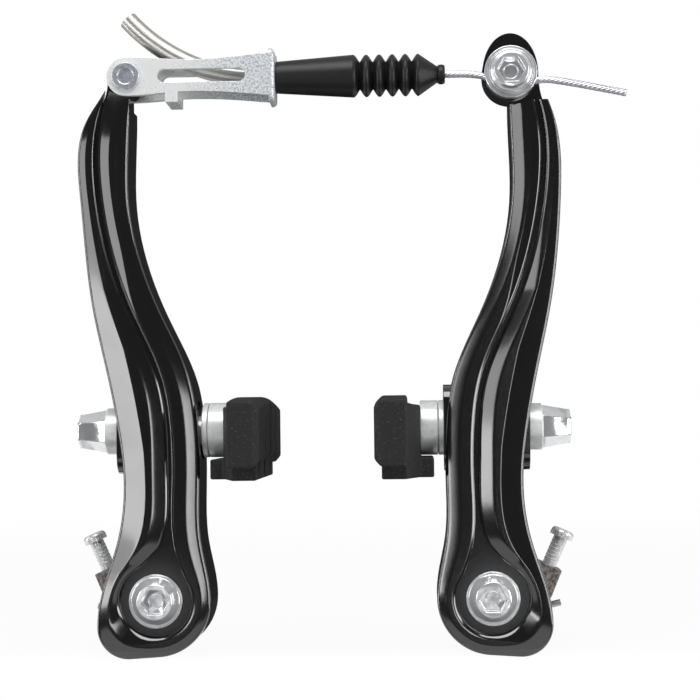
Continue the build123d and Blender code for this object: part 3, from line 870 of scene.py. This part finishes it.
# Strands: each follows the route at a small radius, turning once every lay along it.
def strandGrids(path):
    c = cable
    path = evenly(path, c["runPoints"])
    across, up = squareTo(path)
    travel = np.concatenate([[0], np.cumsum(np.linalg.norm(np.diff(path, axis=0), axis=1))])
    grids = [tubeGrid(path, c["windRadius"], c["strandSides"])]
    for strand in range(c["strands"]):
        angle = (2 * np.pi * (strand / c["strands"] + travel / c["lay"]))[:, None]
        line = path + c["windRadius"] * (np.cos(angle) * across + np.sin(angle) * up)
        grids.append(tubeGrid(line, c["strandRadius"], c["strandSides"]))
    return grids


def makeCable():
    c = cable
    anchorX, anchorZ = c["anchor"]
    guided = [(x, -c["depth"], z) for x, z in c["guided"]]
    clamped = [(anchorX + out, -c["depth"], anchorZ + rise) for out, rise in c["clamped"]]
    inside = splinePoints("guidedRoute", guided, c["guidedSteps"])
    run = splinePoints("clampedRoute", clamped, c["clampedSteps"])
    grid = tubeGrid(inside, c["radius"], c["tubeSides"])
    core = makePiece("guidedCable", [grid], "link", "cable_steel", cableWire)
    # inside the boot a straight stretch, where the wire is drawn into the noodle
    slide = np.linspace(*((x, -c["depth"], anchorZ) for x in c["slide"]), c["slidePoints"])
    grid = tubeGrid(slide, c["radius"], c["tubeSides"])
    drawn = makePiece("drawnCable", [grid], "link", "cable_steel", cableWire)
    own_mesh(drawn)
    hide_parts("inner_cable")
    wire = makePiece("clampedCable", strandGrids(run), None, "cable_steel", cableWire)
    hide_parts("inner_cable")
    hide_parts("inner_cable")
    start, end = (((anchorX + out) * mm, -c["depth"] * mm, anchorZ * mm)
                  for out in (-c["clampHalf"], c["clampHalf"]))
    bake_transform(wire, "cable", "right_arm", start, end)


makeCable()
print("cable made")


# Adjuster screws' threads: a tube whose radius rises and falls once every pitch along a helix.
thread = {
    "lugFace": (12.8, 5.6),
    "depth": 3.8,
    "axisAngle": 66.0,
    "from": 0.1,
    "to": 6.3,
    "pitch": 0.8,
    "rootRadius": 1.22,
    "crestRadius": 1.62,
    "alongPoints": 180,
    "roundPoints": 40,
    "sharp": 60,
}


def makeThread(side):
    t = thread
    hand = sides[side]
    lean = math.radians(t["axisAngle"])
    along = np.linspace(t["from"], t["to"], t["alongPoints"])[:, None]
    angle = np.linspace(0, 2 * np.pi, t["roundPoints"], endpoint=False)[None, :]
    ridge = np.abs(2 * ((along / t["pitch"] - angle / (2 * np.pi)) % 1) - 1)
    fade = np.clip(np.minimum(along - t["from"], t["to"] - along) / t["pitch"], 0, 1)
    radius = t["rootRadius"] + (t["crestRadius"] - t["rootRadius"]) * ridge * fade
    u = t["lugFace"][0] + along * math.cos(lean) + radius * np.cos(angle) * math.sin(lean)
    v = t["lugFace"][1] + along * math.sin(lean) - radius * np.cos(angle) * math.cos(lean)
    y = -t["depth"] + radius * np.sin(angle)
    grid = np.stack([hand * (pivotOut + u), y, v], axis=2)
    settings = {"flip": hand > 0, "sharp": t["sharp"]}
    makePiece(side + "ScrewThread", [grid], side + "_screw", "zinc_screw", zincScrew, **settings)


for side in sides:
    makeThread(side)
print("screw threads made")


# Rounded edges: a copy of a CAD piece, its coplanar triangles joined, with a Bevel on its sharp
# edges. Widths are in mm, angles in degrees and the weld in metres.
softEdges = {
    "pivot_bolt": {"slot": "zinc_bolt", "width": 0.16},
    "cap_nut": {"slot": "zinc_bolt", "width": 0.18, "turn": 30},
    "cup_washer": {"slot": "zinc_washer", "width": 0.22},
    "dome_washer": {"slot": "zinc_washer", "width": 0.18},
    "outer_washer": {"slot": "zinc_washer", "width": 0.22},
    "cable_link": {"slot": "link_sheet", "width": 0.10},
    "link_pin": {"slot": "zinc_bolt", "width": 0.15},
    "anchor_bolt": {"slot": "zinc_bolt", "width": 0.16},
    "anchor_washer": {"slot": "zinc_bolt", "width": 0.18},
    "brake_pad": {"slot": "pad_rubber", "width": 0.40},
    "spring_plate": {"slot": "sintered_steel", "width": 0.28},
}
edgeRule = {"weld": 1e-6, "coplanar": 0.5, "sharp": 35, "segments": 3}


def makeSoftEdged(name, kind):
    soft = softEdges[kind]
    sharpAngle = math.radians(edgeRule["sharp"])
    coplanarAngle = math.radians(edgeRule["coplanar"])
    shape = bmesh.new()
    shape.from_mesh(nodes[name].data)
    if "turn" in soft:  # a nut is tightened to any angle about its own axis
        low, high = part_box(name)
        spin = Matrix.Rotation(math.radians(soft["turn"]), 3, "X")
        bmesh.ops.rotate(shape, verts=shape.verts, cent=(low + high) / 2, matrix=spin)
    bmesh.ops.remove_doubles(shape, verts=shape.verts, dist=edgeRule["weld"])
    bmesh.ops.dissolve_limit(shape, angle_limit=coplanarAngle, verts=shape.verts, edges=shape.edges)
    first, *rest = name.split("_")
    pieceName = first + "".join(word.title() for word in rest) + "Soft"
    mesh = bpy.data.meshes.new(pieceName)
    shape.to_mesh(mesh)
    shape.free()
    mesh.materials.append(finishes[kind])
    mesh.shade_smooth()
    mesh.set_sharp_from_angle(angle=sharpAngle)
    piece = addObject(pieceName, mesh)
    bevel = piece.modifiers.new("edges", "BEVEL")
    bevel.width = soft["width"] * mm
    bevel.segments = edgeRule["segments"]
    bevel.limit_method = "ANGLE"
    bevel.angle_limit = sharpAngle
    bevel.use_clamp_overlap = False
    bevel.harden_normals = True
    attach(piece, body_of(nodes[name])[0])
    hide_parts(name)


for name in nodes:
    if kindOf(name) in softEdges:
        makeSoftEdged(name, kindOf(name))
print("edges rounded")


# Floor and backdrop: pale, seen by the camera as white, and still holding the soft shadow.
studio = {
    "floorDrop": 0.0004,
    "floorHalf": 3.0,
    "floorFront": -0.024,
    "floorColour": (0.9, 0.9, 0.9, 1),
    "floorRough": 0.8,
    "whiteShare": 0.94,
    "fadeFrom": 0.10,
    "fadeTo": 0.60,
    "glossFrom": 0.03,
    "glossTo": 0.15,
    "white": (1, 1, 1, 1),
    "ambient": 0.03,
    "backLight": 0.25,
    "dimCone": -0.5,
    "paleFrom": 0.1,
}


# Which rays see the white: camera and transmission rays do, and glossy rays by the share given.
def paleRays(flow, glossShare):
    camera, glossy, through = (flow.node("ShaderNodeLightPath", {}, {}, name)
                               for name in ("Is Camera Ray", "Is Glossy Ray", "Is Transmission Ray"))
    return flow.maths("MAXIMUM", flow.maths("MAXIMUM", camera, through), glossy * glossShare)


def makeFloor():
    level = cadBox[0][2] - studio["floorDrop"]
    half = studio["floorHalf"]
    front = studio["floorFront"]
    corners = [(-half, front, level), (half, front, level), (half, half, level), (-half, half, level)]
    mesh = bpy.data.meshes.new("floor")
    mesh.from_pydata(corners, [], [(0, 1, 2, 3)])
    floor = addObject("floor", mesh)
    fixed = {"Base Color": studio["floorColour"], "Roughness": studio["floorRough"]}
    look = Finish("paleFloor", fixed)
    flow = look.flow
    away = flow.node("ShaderNodeSeparateXYZ", {}, {"Vector": look.coords}, 1)
    fromFront = look.step(away, front, 0.0)
    near = fromFront * (1 - look.step(away, studio["glossFrom"], studio["glossTo"]))
    far = look.step(away, studio["fadeFrom"], studio["fadeTo"])
    far = flow.maths("MAXIMUM", far, 1 - fromFront)
    whiteShare = studio["whiteShare"] + (1 - studio["whiteShare"]) * far
    share = paleRays(flow, near) * whiteShare
    white = flow.node("ShaderNodeEmission", {}, {"Strength": 1.0})
    plain = Flow(flow.tree, look.shader.outputs[0])
    mixed = flow.node("ShaderNodeMixShader", {}, {0: share, 1: plain, 2: white})
    flow.tree.links.new(mixed.socket, flow.tree.nodes["Material Output"].inputs[0])
    mesh.materials.append(look.material)


# World: white to the camera, pale behind the brake and dim on the viewer's side.
def makeWorld():
    world = bpy.data.worlds.new("studio")
    bpy.context.scene.world = world
    world.use_nodes = True
    flow = Flow(world.node_tree)
    way = flow.node("ShaderNodeTexCoord", {}, {}, 0)
    behind = flow.node("ShaderNodeSeparateXYZ", {}, {"Vector": way}, 1)
    settings = {"interpolation_type": "SMOOTHSTEP"}
    levels = {"Value": behind, "From Min": studio["dimCone"], "From Max": studio["paleFrom"]}
    pale = flow.node("ShaderNodeMapRange", settings, levels)
    level = studio["ambient"] + studio["backLight"] * pale
    seen = paleRays(flow, level)
    strength = seen + (1 - seen) * level
    background = world.node_tree.nodes["Background"]
    background.inputs[0].default_value = studio["white"]
    flow.tree.links.new(strength.socket, background.inputs[1])


# Softboxes: place, aim, width, height in metres, and the brightness of their face. The glints are
# small round ones.
softboxes = {
    "left": ((-0.391, -0.5585, 0.0125), (0.0, 0.0, 0.0125), 0.315, 0.095, 4.6),
    "leftUpper": ((-0.391, -0.5585, 0.1575), (0.0, 0.0, 0.1575), 0.315, 0.195, 2.2),
    "right": ((0.55, -0.4225, 0.075), (0.0, 0.0, 0.075), 0.19, 0.36, 5.0),
    "inside": ((0.157, -0.682, 0.025), (0.0, 0.0, 0.025), 0.075, 0.19, 4.0),
    "apron": ((0.0, -0.45, -0.25), (0.0, 0.0, 0.0), 0.90, 0.22, 0.6),
    "top": ((0.0, -0.35, 0.60), (0.0, 0.0, 0.06), 0.60, 0.40, 4.6),
    "leftStrip": ((-0.62, -0.10, 0.08), (0.0, -0.02, 0.06), 0.06, 0.50, 12.0),
    "rightStrip": ((0.62, -0.10, 0.08), (0.0, -0.02, 0.06), 0.06, 0.50, 12.0),
    "leftGlint": ((-0.090, -0.374, -0.036), (-0.035, 0.0, 0.0), 0.022, 0.022, 0.85),
    "rightGlint": ((0.050, -0.374, -0.036), (0.035, 0.0, 0.0), 0.022, 0.022, 0.85),
}


# A bent black card behind the gap between the arms, which only their glossy sides show.
flag = {
    "near": 0.012,
    "depth": 0.10,
    "half": 0.05,
    "lift": 0.0002,
    "high": 0.14,
    "black": (0.01, 0.01, 0.01, 1),
}


def makeFlag():
    f = flag
    foot = cadBox[0][2] - studio["floorDrop"] + f["lift"]
    rows = [(f["near"], foot), (f["depth"], foot), (f["depth"], f["high"])]
    corners = [(side * f["half"], y, z) for y, z in rows for side in (-1, 1)]
    mesh = bpy.data.meshes.new("flag")
    mesh.from_pydata(corners, [], [(0, 1, 3, 2), (2, 3, 5, 4)])
    look = Finish("flagBlack", {"Base Color": f["black"], "Roughness": 1.0})
    mesh.materials.append(look.material)
    card = addObject("flag", mesh)
    card.visible_camera = False
    card.visible_diffuse = False
    card.visible_shadow = False


def makeSoftboxes():
    for name, (place, aim, width, height, brightness) in softboxes.items():
        lamp = bpy.data.lights.new(name, "AREA")
        lamp.shape = "ELLIPSE" if "Glint" in name else "RECTANGLE"
        lamp.size = width
        lamp.size_y = height
        lamp.energy = brightness * math.pi * width * height
        box = addObject(name, lamp)
        box.location = place
        box.rotation_euler = (Vector(aim) - Vector(place)).to_track_quat("-Z", "Y").to_euler()


# Camera: place in metres, turn, tilt and roll in degrees, focal length in pixels of the image,
# sensor in mm.
viewpoint = {
    "place": (0.0200, -0.3738, 0.0366),
    "turn": 2.26,
    "tilt": 2.45,
    "roll": -0.69,
    "focal": 1702.0,
    "imageWidth": 700.0,
    "sensor": 36.0,
    "clipStart": 0.01,
}


def makeCamera():
    v = viewpoint
    turn, tilt, roll = (math.radians(v[key]) for key in ("turn", "tilt", "roll"))
    ahead = Vector((-math.sin(turn) * math.cos(tilt), math.cos(turn) * math.cos(tilt),
                    math.sin(tilt)))
    right = Vector((math.cos(turn), math.sin(turn), 0))
    up = right.cross(ahead)
    level = math.cos(roll) * right + math.sin(roll) * up
    upright = math.cos(roll) * up - math.sin(roll) * right
    lens = bpy.data.cameras.new("viewpoint")
    lens.sensor_width = v["sensor"]
    lens.lens = v["focal"] * v["sensor"] / v["imageWidth"]
    lens.clip_start = v["clipStart"]
    camera = addObject("viewpoint", lens)
    turnMatrix = Matrix((level, upright, -ahead)).transposed().to_4x4()
    camera.matrix_world = Matrix.Translation(v["place"]) @ turnMatrix
    bpy.context.scene.camera = camera


makeFloor()
makeWorld()
makeSoftboxes()
makeFlag()
makeCamera()
bpy.context.scene.view_settings.view_transform = "Standard"
print("studio made")
